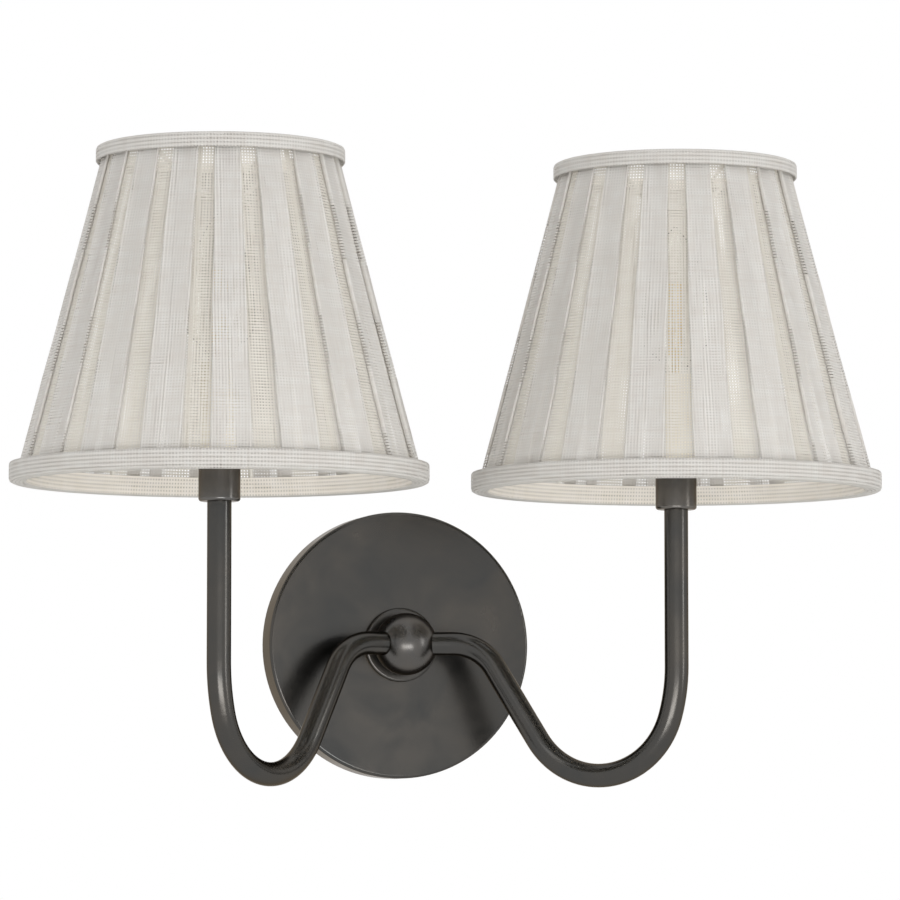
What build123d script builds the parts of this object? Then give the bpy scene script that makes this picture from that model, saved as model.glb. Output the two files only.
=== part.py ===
from build123d import *
import math
import os

# Double arm wall sconce, millimetres, +Z up.
# The origin is on the wall, behind the middle of the wall plate. +X is to the right of a
# person facing the sconce, +Y goes into the wall and -Y comes out into the room.

os.makedirs("parts", exist_ok=True)

# ---------------------------------------------------------------- driving dimensions

# wall plate, a pressed round pan
plate_radius = 63.5
plate_depth = 15.9
plate_wall = 1.2
plate_edge_radius = 1.5
plate_hole_gap = 0.3  # radial room round the threaded tube

# mounting strap behind the plate, upright, with bent ears that carry the plate
strap_width = 20.0
strap_thickness = 1.6
strap_ear_depth = 12.0
strap_bend_radius = 1.0
strap_to_rim_gap = 0.3
strap_wire_hole_radius = 7.0
box_screw_spacing = 79.4  # middle of the 2-3/4 in and 3-1/2 in outlet box patterns
box_slot_length = 14.4
box_slot_width = 5.0

# screws of the wall side
rim_screw_radius = 1.9
rim_screw_length = 5.0
rim_screw_sunk = 0.2  # how far the headless screws lie below the rim's surface
rim_screw_depth = 8.0  # distance of the rim screws from the wall
screw_slot_width = 0.8
screw_slot_depth = 0.7
screw_hole_gap = 0.15
ground_screw_height = 21.0
ground_screw_radius = 2.4
ground_screw_head_width = 7.9
ground_screw_head_height = 3.0
ground_screw_length = 7.0

# hub: boss, ball and the threaded tube through them
boss_radius = 17.6
boss_thickness = 2.7
boss_edge_radius = 1.1
ball_radius = 14.8
ball_centre_depth = 27.2
nipple_radius = 4.9
nipple_bore_radius = 3.6
nipple_front_depth = 25.2
nipple_back_depth = 8.4
lock_washer_radius = 8.5
lock_washer_thickness = 1.0
lock_washer_notches = 12
lock_washer_notch_radius = 0.9
nut_width = 15.0
nut_thickness = 3.4
thread_gap = 0.05  # radial room that stands for a thread's play
touch_gap = 0.02  # hairline between parts that rest on each other
cut_past = 1.0  # how far a cutter runs past the face that it cuts

# arms: bent tube, leaving the ball level, turning down and out, then up into the cup
tube_radius = 5.56
tube_wall = 1.2
arm_ball_angle = 25.4  # how far forward the tube points as it leaves the ball
arm_level_run = 35.8
arm_start = 6.6
arm_knee_radius = 24.5
arm_fall_angle = 56.8
arm_lowest = -62.75
arm_rise_angle = 74.0  # where the dip's bend gives way to the wider one under the cup
arm_upright_radius = 83.0  # of that wider bend
arm_bend_gap = 0.5  # straight stretch left between the two bends

# lamp axis, one each side
lamp_side = 108.8
lamp_depth = 108.5

# cup, and what clamps it on the tube
cup_radius = 9.55
cup_wall = 0.6
cup_floor = 0.8
cup_height = 21.5
cup_bottom = 60.5
cup_edge_radius = 1.3
nipple_in_tube_gap = 0.2
cup_nipple_wall = 1.2
cup_nipple_sunk = 9.0
cup_nipple_above_nut = 1.0
cup_nut_to_bracket = 0.6
cup_nut_thickness = 2.6
cup_nut_least_wall = 0.8

# candle sleeve and socket
sleeve_gap = 0.1
sleeve_wall = 0.7
sleeve_height = 62.7
bracket_thickness = 1.2
bracket_width = 6.0
bracket_height = 38.0
bracket_to_sleeve = 0.1
bracket_edge_radius = 0.3
bracket_tab_radius = 4.5
socket_body_gap = 0.2
socket_below_sleeve_top = 1.2
socket_floor = 4.0
shell_outer_radius = 6.3
shell_wall = 0.35
shell_length = 17.0
shell_below_top = 0.6
contact_radius = 3.2
contact_thickness = 0.5
contact_lift = 0.8
contact_pad_radius = 1.9
contact_post_radius = 0.8
contact_room = 0.4

# bulb with a small screw base
bulb_thread_gap = 0.05
bulb_shell_wall = 0.3
bulb_shell_length = 15.0
bulb_tip_radius = 2.2
bulb_tip_height = 1.6
bulb_tip_edge_radius = 1.0
bulb_insulator_height = 1.6
bulb_insulator_foot_radius = 2.8
bulb_neck_radius = 5.3
bulb_radius = 16.0
bulb_glass_height = 74.0
bulb_glass_wall = 0.8
bulb_widest_share = 0.30
bulb_throat_height = 4.0
bulb_neck_in_shell = 3.0
bulb_contact_gap = 0.05
filament_radius = 0.8
filament_length = 34.0
filament_count = 4
filament_sunk = 4.0  # how far a rod reaches down beside the stem
stem_radius = 2.2
stem_length = 16.0

# clip that grips the bulb, and the rivet that the shade turns on
clip_wire_radius = 0.8
clip_bulb_gap = 0.35
clip_loop_width = 22.0
clip_loop_drop = 56.0
clip_loop_radius = 10.4
clip_shoulder_radius = 6.0
clip_wire_start = 3.0
clip_plate_radius = 6.0
clip_plate_thickness = 1.0
clip_above_bulb = 5.0
rivet_radius = 2.4
rivet_head_radius = 4.0
rivet_head_height = 1.2
rivet_head_edge_radius = 0.7
rivet_running_gap = 0.08
rivet_end_gap = 0.25

# shade
shade_bottom = 68.7
shade_top = 222.2
shade_upper_radius = 54.5  # over the pleats, at shade_upper_height
shade_upper_height = 215.0
shade_lower_radius = 89.9  # over the pleats, at shade_lower_height
shade_lower_height = 80.0
pleat_count = 18
pleat_panel_angle = 11.5
left_pleat_first_angle = -105.0
right_pleat_first_angle = -102.5
pleat_stack = 2.0
pleat_recess = 1.2
inner_facets = 72
top_band_radius = 56.9
top_band_height = 6.9
bottom_band_radius = 95.5
bottom_band_height = 8.8
band_fabric = 0.8
band_edge_radius = 1.0
band_gap = 0.05
ring_wire_radius = 1.2
strut_wire_radius = 0.9
strut_count = 8
strut_first_angle = 22.5
wire_to_fabric_gap = 0.15
spider_wire_radius = 0.9
spider_arm_count = 4
spider_level_run = 6.0
spider_end_run = 12.0
spider_bend_radius = 8.0
spider_hub_radius = 7.0
spider_hub_thickness = 1.6

# sleeved lead inside each arm
lead_radius = 1.5
lead_side = 1.8
lead_bend_radius = 6.0
lead_end_depth = 5.0

# ---------------------------------------------------------------- worked-out places

plate_inside = plate_depth - plate_wall
plate_inner_radius = plate_radius - plate_wall
boss_front = plate_depth + boss_thickness
strap_ear_outside = math.sqrt(plate_inner_radius**2 - (strap_width / 2) ** 2) - strap_to_rim_gap

cup_inside = cup_bottom + cup_floor
cup_bore_radius = cup_radius - cup_wall
sleeve_radius = cup_bore_radius - sleeve_gap
sleeve_bore_radius = sleeve_radius - sleeve_wall
sleeve_top = cup_inside + sleeve_height
bracket_back = math.sqrt(sleeve_bore_radius**2 - (bracket_width / 2) ** 2) - bracket_to_sleeve
bracket_front = bracket_back - bracket_thickness
bracket_top = cup_inside + bracket_height
cup_nut_width = 2 * (bracket_front - cup_nut_to_bracket)
cup_nipple_most = cup_nut_width / 2 - cup_nut_least_wall - thread_gap
cup_nipple_radius = min(tube_radius - tube_wall - nipple_in_tube_gap, cup_nipple_most)
cup_nipple_bore_radius = cup_nipple_radius - cup_nipple_wall
tube_bore_radius = cup_nipple_radius + nipple_in_tube_gap
cup_nut_bottom = cup_inside + bracket_thickness
cup_nipple_top = cup_nut_bottom + cup_nut_thickness + cup_nipple_above_nut

socket_radius = sleeve_bore_radius - socket_body_gap
socket_top = sleeve_top - socket_below_sleeve_top
shell_top = socket_top - shell_below_top
shell_bottom = shell_top - shell_length
socket_inside = bracket_top + socket_floor
contact_top = socket_inside + contact_thickness + contact_lift
bulb_bottom = contact_top + bulb_contact_gap
bulb_shell_radius = shell_outer_radius - shell_wall - bulb_thread_gap
bulb_insulator_bottom = bulb_bottom + bulb_tip_height
bulb_shell_bottom = bulb_insulator_bottom + bulb_insulator_height
bulb_shell_top = bulb_shell_bottom + bulb_shell_length
glass_bottom = bulb_shell_top - bulb_neck_in_shell
glass_top = glass_bottom + bulb_glass_height
glass_widest = glass_bottom + bulb_widest_share * bulb_glass_height

clip_plate_bottom = glass_top + clip_above_bulb
clip_plate_top = clip_plate_bottom + clip_plate_thickness
spider_hub_bottom = clip_plate_top + rivet_end_gap
spider_hub_top = spider_hub_bottom + spider_hub_thickness

shade_slope = (shade_lower_radius - shade_upper_radius) / (shade_upper_height - shade_lower_height)
fabric_top = shade_top - band_fabric - band_gap
fabric_bottom = shade_bottom + band_fabric + band_gap
top_ring_height = fabric_top - ring_wire_radius
bottom_ring_height = fabric_bottom + ring_wire_radius


def fabric_radius(height):
    """Radius over the pleats at a height."""
    return shade_upper_radius + shade_slope * (shade_upper_height - height)


def ring_radius(height):
    """Centre radius of a wire ring that lies just inside the fabric at a height."""
    lean = math.sqrt(1 + shade_slope**2)
    return fabric_radius(height) - pleat_stack - (ring_wire_radius + wire_to_fabric_gap) * lean


top_ring_radius = ring_radius(top_ring_height)
bottom_ring_radius = ring_radius(bottom_ring_height)


# ---------------------------------------------------------------- helpers


def save(name, shape):
    """Write one node."""
    export_step(shape, "parts/" + name + ".step")


def forward_disc(radius, back, front, x=0.0, z=0.0):
    """Round bar along Y, from `back` to `front`, both counted out from the wall."""
    bar = Cylinder(radius, front - back, align=(Align.CENTER, Align.CENTER, Align.MIN))
    return Pos(x, -back, z) * Rot(90, 0, 0) * bar


def upright_disc(radius, low, high, x=0.0, y=0.0):
    """Round bar along Z, from `low` to `high`."""
    bar = Cylinder(radius, high - low, align=(Align.CENTER, Align.CENTER, Align.MIN))
    return Pos(x, y, low) * bar


def upright_tube(outer, inner, low, high):
    """Pipe along Z, on the Z axis."""
    return upright_disc(outer, low, high) - upright_disc(inner, low - cut_past, high + cut_past)


def turned(points):
    """Solid of revolution about Z from (radius, height) corners."""
    outline = Polyline(*[(r, 0, z) for r, z in points], close=True)
    return revolve(make_face(outline), axis=Axis.Z)


def hex_prism(width, low, high):
    """Upright hexagon, `width` across its flats."""
    side = RegularPolygon(width / math.sqrt(3), 6)
    return Pos(0, 0, low) * extrude(side, high - low)


def wire_through(path, radius):
    """Round wire along a path."""
    start = Plane(origin=path @ 0, z_dir=path % 0)
    return sweep(start * Circle(radius), path=path)


def ring_wire(centre_radius, height, radius):
    """Closed round ring of wire about Z."""
    return Pos(0, 0, height) * Torus(centre_radius, radius)


# ---------------------------------------------------------------- wall side


def wall_plate():
    """Round pan, open to the wall, with a centre hole and two rim holes."""
    outside = forward_disc(plate_radius, 0, plate_depth)
    front_edge = outside.edges().group_by(Axis.Y)[0]
    outside = fillet(front_edge, plate_edge_radius)
    inside = forward_disc(plate_inner_radius, -cut_past, plate_inside)
    pan = outside - inside
    pan -= forward_disc(nipple_radius + plate_hole_gap, 0, plate_depth + cut_past)
    for side in (-1, 1):
        hole = upright_disc(rim_screw_radius + screw_hole_gap, 0, plate_radius + cut_past)
        turn = 0 if side > 0 else 180
        pan -= Pos(0, -rim_screw_depth, 0) * Rot(turn, 0, 0) * hole
    return pan


def mounting_strap():
    """Upright strap with an ear bent forward at each end."""
    length = 2 * strap_ear_outside
    box = (Align.CENTER, Align.MAX, Align.CENTER)
    bar = Box(strap_width, strap_ear_depth, length, align=box)
    inner_length = length - 2 * strap_thickness
    room = Box(strap_width + 2 * cut_past, strap_ear_depth, inner_length, align=box)
    bar -= Pos(0, -strap_thickness, 0) * room
    bar = fillet(bar.edges().filter_by(Axis.X).group_by(Axis.Y)[-1], strap_bend_radius)
    through = strap_thickness + cut_past
    bar -= forward_disc(strap_wire_hole_radius, -cut_past, through)
    bar -= forward_disc(ground_screw_radius + thread_gap, -cut_past, through, z=ground_screw_height)
    slot = SlotOverall(box_slot_length, box_slot_width)
    for side in (-1, 1):
        origin = (0, cut_past, side * box_screw_spacing / 2)
        place = Plane(origin, x_dir=(0, 0, 1), z_dir=(0, -1, 0))
        bar -= extrude(place * slot, through + cut_past)
        turn = 0 if side > 0 else 180
        ear_hole = upright_disc(rim_screw_radius + thread_gap, 0, strap_ear_outside + cut_past)
        bar -= Pos(0, -rim_screw_depth, 0) * Rot(turn, 0, 0) * ear_hole
    return bar


def plate_screws():
    """Headless screws through the plate's rim into the strap's ears, top and bottom."""
    high = plate_radius - rim_screw_sunk
    screw = upright_disc(rim_screw_radius, high - rim_screw_length, high)
    cut = Box(2 * rim_screw_radius + cut_past, screw_slot_width, 2 * screw_slot_depth)
    screw -= Pos(0, 0, high) * cut
    place = Pos(0, -rim_screw_depth, 0)
    return Compound(children=[place * screw, place * Rot(180, 0, 0) * screw])


def ground_screw():
    """Earthing screw in the strap, its hex head to the room."""
    head_high = ground_screw_length + ground_screw_head_height
    shank = upright_disc(ground_screw_radius, 0, ground_screw_length)
    head = hex_prism(ground_screw_head_width, ground_screw_length, head_high)
    cut = Box(2 * ground_screw_head_width, screw_slot_width, 2 * screw_slot_depth)
    head -= Pos(0, 0, head_high) * cut
    tip = ground_screw_length - strap_thickness - touch_gap
    return Pos(0, tip, ground_screw_height) * Rot(90, 0, 0) * (shank + head)


# ---------------------------------------------------------------- hub


def arm_direction(side):
    """Unit vector of a tube as it leaves the ball."""
    angle = math.radians(arm_ball_angle)
    return Vector(side * math.cos(angle), -math.sin(angle), 0)


def ball_centre():
    return Vector(0, -ball_centre_depth, 0)


def hub_boss():
    """Collar between plate and ball, with a rounded front edge."""
    boss = forward_disc(boss_radius, plate_depth, boss_front)
    boss = fillet(boss.edges().group_by(Axis.Y)[0], boss_edge_radius)
    return boss - forward_disc(nipple_radius + thread_gap, 0, boss_front + cut_past)


def hub_ball():
    """Ball cut flat where it sits on the boss, bored for the nipple and both arms."""
    ball = Pos(0, -ball_centre_depth, 0) * Sphere(ball_radius)
    behind = (Align.CENTER, Align.MIN, Align.CENTER)
    block = Box(3 * ball_radius, 3 * ball_radius, 3 * ball_radius, align=behind)
    ball -= Pos(0, -boss_front, 0) * block
    ball -= forward_disc(nipple_radius + thread_gap, 0, ball_centre_depth)
    for side in (-1, 1):
        start = Plane(origin=ball_centre(), z_dir=arm_direction(side))
        ball -= extrude(start * Circle(tube_radius + thread_gap), 2 * ball_radius)
    return ball


def hub_nipple():
    """Hollow threaded tube from inside the ball to behind the plate."""
    tube = forward_disc(nipple_radius, nipple_back_depth, nipple_front_depth)
    return tube - forward_disc(nipple_bore_radius, 0, nipple_front_depth + cut_past)


def hub_lock_washer():
    """Washer under the nut, notched all round its edge."""
    back = plate_inside - lock_washer_thickness
    washer = forward_disc(lock_washer_radius, back, plate_inside)
    washer -= forward_disc(nipple_radius + 2 * thread_gap, 0, plate_inside + cut_past)
    for number in range(lock_washer_notches):
        angle = math.radians(360 / lock_washer_notches * number)
        x = lock_washer_radius * math.cos(angle)
        z = lock_washer_radius * math.sin(angle)
        washer -= forward_disc(lock_washer_notch_radius, 0, plate_inside + cut_past, x=x, z=z)
    return washer


def hub_nut():
    """Hex nut on the nipple, against the lock washer."""
    front = plate_inside - lock_washer_thickness
    nut = hex_prism(nut_width, front - nut_thickness, front)
    nut -= upright_disc(nipple_radius + thread_gap, 0, front + cut_past)
    return Rot(90, 0, 0) * nut


# ---------------------------------------------------------------- arms


def arm_corners(side):
    """Corners of the tube's centreline, from the ball's centre to the cup, and its radii."""
    start = ball_centre()
    knee = start + arm_direction(side) * arm_level_run
    outward = Vector(side * lamp_side, -lamp_depth, 0) - knee
    reach = outward.length
    outward = outward.normalized()
    fall = math.radians(arm_fall_angle)
    rise = math.radians(arm_rise_angle)
    across = arm_upright_radius * (1 - math.sin(rise)) + arm_bend_gap * math.cos(rise)
    dip_radius = (reach - across + arm_lowest / math.tan(fall)) / (math.tan(fall / 2) + math.sin(rise))
    bottom = -arm_lowest / math.tan(fall) + dip_radius * math.tan(fall / 2)
    rise_start = bottom + dip_radius * math.tan(rise / 2)
    turn = (rise_start * math.tan(rise) - arm_lowest) / (math.tan(rise) + math.tan(fall))
    turn_height = -turn * math.tan(fall)
    upright_height = arm_lowest + (reach - rise_start) * math.tan(rise)
    corners = [
        start,
        knee,
        knee + outward * turn + Vector(0, 0, turn_height),
        knee + outward * reach + Vector(0, 0, upright_height),
        knee + outward * reach + Vector(0, 0, cup_bottom),
    ]
    return corners, [arm_knee_radius, dip_radius, arm_upright_radius]


def arm(side):
    """Bent tube from inside the ball to the cup's underside."""
    corners, radii = arm_corners(side)
    corners[0] = corners[0] + arm_direction(side) * arm_start
    path = FilletPolyline(*corners, radius=radii)
    return wire_through(path, tube_radius) - wire_through(path, tube_bore_radius)


def arm_lead(side):
    """Sleeved lead: down from the socket, along the tube, back through the nipple."""
    corners, radii = arm_corners(side)
    inward = lead_side / math.cos(math.radians(arm_ball_angle))
    turn_point = corners[0] + arm_direction(side) * inward
    behind = Vector(side * lead_side, -lead_end_depth, 0)
    top = Vector(corners[-1].X, corners[-1].Y, bracket_top + bracket_thickness)
    points = [behind, turn_point] + corners[1:-1] + [top]
    path = FilletPolyline(*points, radius=[lead_bend_radius] + radii)
    return wire_through(path, lead_radius)


# ---------------------------------------------------------------- cup and socket


def cup():
    """Thin cup, rounded under, with a hole for the nipple."""
    outside = upright_disc(cup_radius, cup_bottom, cup_bottom + cup_height)
    outside = fillet(outside.edges().group_by(Axis.Z)[0], cup_edge_radius)
    inside = upright_disc(cup_bore_radius, cup_inside, cup_bottom + cup_height + cut_past)
    inside = fillet(inside.edges().group_by(Axis.Z)[0], cup_edge_radius - cup_wall)
    return outside - inside - upright_disc(cup_nipple_radius + thread_gap, 0, cup_inside + cut_past)


def cup_nipple():
    """Hollow threaded tube sunk in the arm's end."""
    low = cup_bottom - cup_nipple_sunk
    return upright_tube(cup_nipple_radius, cup_nipple_bore_radius, low, cup_nipple_top)


def cup_nut():
    """Hex nut that clamps the bracket and the cup on the arm."""
    nut = hex_prism(cup_nut_width, cup_nut_bottom, cup_nut_bottom + cup_nut_thickness)
    return nut - upright_disc(cup_nipple_radius + thread_gap, 0, cup_nipple_top)


def candle_sleeve():
    """Pale sleeve that stands in the cup, clear of its rounded corner."""
    low = cup_inside + cup_edge_radius - cup_wall
    return upright_tube(sleeve_radius, sleeve_bore_radius, low, sleeve_top)


def socket_bracket():
    """C-shaped bracket: foot under the nut, upright, and a top tab for the socket."""
    align = (Align.CENTER, Align.MIN, Align.MIN)
    tall = bracket_height + bracket_thickness
    upright = Box(bracket_width, bracket_thickness, tall, align=align)
    upright = Pos(0, bracket_front, cup_inside) * upright
    upright = fillet(upright.edges().filter_by(Axis.Z), bracket_edge_radius)
    tab = Box(bracket_width, bracket_front, bracket_thickness, align=align)
    foot = Pos(0, 0, cup_inside) * tab
    foot += upright_disc(cup_nut_width / 2, cup_inside, cup_nut_bottom)
    foot -= upright_disc(cup_nipple_radius + thread_gap, 0, cup_nut_bottom + cut_past)
    tab_top = bracket_top + bracket_thickness
    top = Pos(0, 0, bracket_top) * tab
    top += upright_disc(bracket_tab_radius, bracket_top, tab_top)
    top -= upright_disc(lead_radius + thread_gap, bracket_top - cut_past, tab_top + cut_past)
    return upright + foot + top


def socket_body():
    """Insulating body, bored for the screw shell."""
    low = bracket_top + bracket_thickness
    body = upright_disc(socket_radius, low, socket_top)
    body -= upright_disc(shell_outer_radius + thread_gap, shell_bottom, socket_top + cut_past)
    return body - upright_disc(contact_radius + contact_room, socket_inside, shell_bottom + cut_past)


def socket_shell():
    """Screw shell of the socket."""
    inner = shell_outer_radius - shell_wall
    return upright_tube(shell_outer_radius, inner, shell_bottom, shell_top)


def socket_contact():
    """Centre contact: a foot and a raised pad on a post."""
    foot = upright_disc(contact_radius, socket_inside, socket_inside + contact_thickness)
    pad_low = contact_top - contact_thickness
    pad = upright_disc(contact_pad_radius, pad_low, contact_top)
    post = upright_disc(contact_post_radius, socket_inside, pad_low)
    return foot + pad + post


# ---------------------------------------------------------------- bulb


def bulb_tip():
    """Soldered centre contact, rounded underneath."""
    tip = upright_disc(bulb_tip_radius, bulb_bottom, bulb_insulator_bottom)
    return fillet(tip.edges().group_by(Axis.Z)[0], bulb_tip_edge_radius)


def bulb_insulator():
    """Dark glass cone between the tip and the shell."""
    corners = [
        (0, bulb_insulator_bottom),
        (bulb_insulator_foot_radius, bulb_insulator_bottom),
        (bulb_shell_radius, bulb_shell_bottom),
        (0, bulb_shell_bottom),
    ]
    return turned(corners)


def bulb_shell():
    """Screw shell of the bulb."""
    inner = bulb_shell_radius - bulb_shell_wall
    return upright_tube(bulb_shell_radius, inner, bulb_shell_bottom, bulb_shell_top)


def glass_outline(inset):
    """Half outline of the glass, drawn in by `inset` from its outside."""
    neck = bulb_neck_radius - inset
    low = glass_bottom + inset
    throat_top = glass_bottom + bulb_throat_height
    top = glass_top - inset
    widest = (bulb_radius - inset, 0, glass_widest)
    foot = Line((0, 0, low), (neck, 0, low))
    throat = Line((neck, 0, low), (neck, 0, throat_top))
    swell = Spline((neck, 0, throat_top), widest, tangents=[(0, 0, 1), (0, 0, 1)])
    taper = Spline(widest, (0, 0, top), tangents=[(0, 0, 1), (-1, 0, 1)])
    axis = Line((0, 0, top), (0, 0, low))
    return make_face(foot + throat + swell + taper + axis)


def bulb_glass():
    """Blown glass, a candle shape."""
    outside = revolve(glass_outline(0.0), axis=Axis.Z)
    return outside - revolve(glass_outline(bulb_glass_wall), axis=Axis.Z)


def bulb_filament():
    """Glass stem with light rods round it."""
    low = glass_bottom + bulb_glass_wall
    stem_top = low + stem_length
    rod_low = stem_top - filament_sunk
    circle = stem_radius + filament_radius + touch_gap
    pieces = [upright_disc(stem_radius, low, stem_top)]
    for number in range(filament_count):
        angle = math.radians(360 / filament_count * number)
        x = circle * math.cos(angle)
        y = circle * math.sin(angle)
        pieces.append(upright_disc(filament_radius, rod_low, rod_low + filament_length, x, y))
    return Compound(children=pieces)


# ---------------------------------------------------------------- clip


def bulb_clip():
    """Two wire loops, one each side of the bulb, joined to a small plate above it."""
    reach = bulb_radius + clip_bulb_gap + clip_wire_radius
    level = clip_plate_top - clip_wire_radius
    half = clip_loop_width / 2
    low = level - clip_loop_drop
    clip = upright_disc(clip_plate_radius, clip_plate_bottom, clip_plate_top)
    for side in (-1, 1):
        for hand in (-1, 1):
            start = (side * clip_wire_start, hand * clip_wire_start, level)
            shoulder = (side * reach, hand * half, level)
            foot = (side * reach, hand * half, low)
            middle = (side * reach, 0, low)
            radii = [clip_shoulder_radius, clip_loop_radius]
            path = FilletPolyline(start, shoulder, foot, middle, radius=radii)
            clip += wire_through(path, clip_wire_radius)
    return clip


def clip_rivet():
    """Rivet that stands on the clip's plate and holds the spider's hub."""
    head_low = spider_hub_top + rivet_end_gap
    shank = upright_disc(rivet_radius, clip_plate_top, head_low)
    head = upright_disc(rivet_head_radius, head_low, head_low + rivet_head_height)
    head = fillet(head.edges().group_by(Axis.Z)[-1], rivet_head_edge_radius)
    return shank + head


# ---------------------------------------------------------------- shade frame


def shade_spider():
    """Flat hub with a hole for the rivet, and arms that rise to the top ring."""
    spider = upright_disc(spider_hub_radius, spider_hub_bottom, spider_hub_top)
    level = (spider_hub_bottom + spider_hub_top) / 2
    end = top_ring_radius - ring_wire_radius - touch_gap
    corners = [
        (spider_hub_radius - spider_wire_radius, 0, level),
        (spider_hub_radius + spider_level_run, 0, level),
        (end - spider_end_run, 0, top_ring_height),
        (end, 0, top_ring_height),
    ]
    spider_arm = wire_through(FilletPolyline(*corners, radius=spider_bend_radius), spider_wire_radius)
    for number in range(spider_arm_count):
        spider += Rot(0, 0, 360 / spider_arm_count * number + strut_first_angle) * spider_arm
    return spider - upright_disc(rivet_radius + rivet_running_gap, 0, spider_hub_top + cut_past)


def shade_struts():
    """Straight wires from the bottom ring up to the top ring."""
    low = Vector(bottom_ring_radius, 0, bottom_ring_height)
    high = Vector(top_ring_radius, 0, top_ring_height)
    along = (high - low).normalized()
    ring_side = ring_wire_radius + touch_gap
    length = (high - low).length - 2 * ring_side
    wire = Cylinder(strut_wire_radius, length, align=(Align.CENTER, Align.CENTER, Align.MIN))
    strut = Plane(origin=low + along * ring_side, z_dir=along) * wire
    turns = [Rot(0, 0, 360 / strut_count * number + strut_first_angle) for number in range(strut_count)]
    return Compound(children=[turn * strut for turn in turns])


# ---------------------------------------------------------------- shade fabric


def outer_corners(height, first_angle):
    """Corners of the fabric's outside at a height: a raised panel, then a sunk gap, repeated."""
    raised = fabric_radius(height)
    pitch = 360 / pleat_count
    panel = (raised, 0, pleat_panel_angle)
    gap = (raised - pleat_recess, pleat_panel_angle, pitch - pleat_panel_angle)
    corners = []
    for number in range(pleat_count):
        for radius, first, span in (panel, gap):
            for share in (0, 0.5, 1):
                degrees = first_angle + pitch * number + first + span * share
                angle = math.radians(degrees)
                corners.append(Vector(radius * math.cos(angle), radius * math.sin(angle), height))
    return corners


def inner_corners(height):
    """Corners of the fabric's inside at a height, which has no steps."""
    radius = fabric_radius(height) - pleat_stack
    angles = [math.radians(360 / inner_facets * number) for number in range(inner_facets)]
    return [Vector(radius * math.cos(angle), radius * math.sin(angle), height) for angle in angles]


def flat_face(*corners):
    """Flat face between corners."""
    return make_face(Polyline(*corners, close=True)).face()


def between_outlines(low, high):
    """Closed solid of flat faces between two level outlines with as many corners."""
    faces = [flat_face(*low), flat_face(*high)]
    for number in range(len(low)):
        faces.append(flat_face(low[number - 1], low[number], high[number], high[number - 1]))
    return Solid(Shell(faces))


def shade_pleats(first_angle):
    """Pleated fabric: stepped outside, plain inside, open at the top and the bottom."""
    low = outer_corners(fabric_bottom, first_angle)
    high = outer_corners(fabric_top, first_angle)
    outside = between_outlines(low, high)
    room_low = fabric_bottom - cut_past
    room_high = fabric_top + cut_past
    return outside - between_outlines(inner_corners(room_low), inner_corners(room_high))


def rounded_outside(band, radius):
    """Band with the two edges of its outer face rounded."""
    circles = band.edges().filter_by(GeomType.CIRCLE)
    rims = [edge for edge in circles if abs(edge.radius - radius) < touch_gap]
    return fillet(rims, band_edge_radius)


def shade_top_band():
    """Strip folded over the top edge: outer face and a top that covers the ring."""
    low = shade_top - top_band_height
    inner = top_ring_radius - ring_wire_radius - band_gap
    corners = [
        (fabric_radius(low) + band_gap, low),
        (top_band_radius, low),
        (top_band_radius, shade_top),
        (inner, shade_top),
        (inner, fabric_top + band_gap),
        (fabric_radius(fabric_top) + band_gap, fabric_top + band_gap),
    ]
    return rounded_outside(turned(corners), top_band_radius)


def shade_bottom_band():
    """Strip folded under the bottom edge: outer face, bottom and inner face."""
    high = shade_bottom + bottom_band_height
    outer_high = fabric_radius(high) + band_gap
    outer_low = fabric_radius(fabric_bottom) + band_gap
    inner = bottom_ring_radius - ring_wire_radius - band_gap
    inner_high = bottom_ring_height
    corners = [
        (outer_high, high),
        (bottom_band_radius, high),
        (bottom_band_radius, shade_bottom),
        (inner - band_fabric, shade_bottom),
        (inner - band_fabric, inner_high),
        (inner, inner_high),
        (inner, fabric_bottom - band_gap),
        (outer_low, fabric_bottom - band_gap),
    ]
    return rounded_outside(turned(corners), bottom_band_radius)


# ---------------------------------------------------------------- write every node

save("mounting_strap", mounting_strap())
save("ground_screw", ground_screw())
save("plate_screws", plate_screws())
save("wall_plate", wall_plate())
save("hub_boss", hub_boss())
save("hub_ball", hub_ball())
save("hub_nipple", hub_nipple())
save("hub_lock_washer", hub_lock_washer())
save("hub_nut", hub_nut())

lamp_pieces = {
    "cup": cup(),
    "cup_nipple": cup_nipple(),
    "cup_nut": cup_nut(),
    "candle_sleeve": candle_sleeve(),
    "socket_bracket": socket_bracket(),
    "socket_body": socket_body(),
    "socket_shell": socket_shell(),
    "socket_contact": socket_contact(),
    "bulb_tip": bulb_tip(),
    "bulb_insulator": bulb_insulator(),
    "bulb_shell": bulb_shell(),
    "bulb_glass": bulb_glass(),
    "bulb_filament": bulb_filament(),
    "bulb_clip": bulb_clip(),
    "clip_rivet": clip_rivet(),
    "shade_spider": shade_spider(),
    "shade_top_ring": ring_wire(top_ring_radius, top_ring_height, ring_wire_radius),
    "shade_bottom_ring": ring_wire(bottom_ring_radius, bottom_ring_height, ring_wire_radius),
    "shade_struts": shade_struts(),
    "shade_top_band": shade_top_band(),
    "shade_bottom_band": shade_bottom_band(),
}

lamp_sides = (("left", -1, left_pleat_first_angle), ("right", 1, right_pleat_first_angle))

for side_name, side, first_angle in lamp_sides:
    place = Pos(side * lamp_side, -lamp_depth, 0)
    save(side_name + "_arm", arm(side))
    save(side_name + "_arm_lead", arm_lead(side))
    save(side_name + "_shade_pleats", place * shade_pleats(first_angle))
    for piece_name, piece in lamp_pieces.items():
        save(side_name + "_" + piece_name, place * piece)
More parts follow.
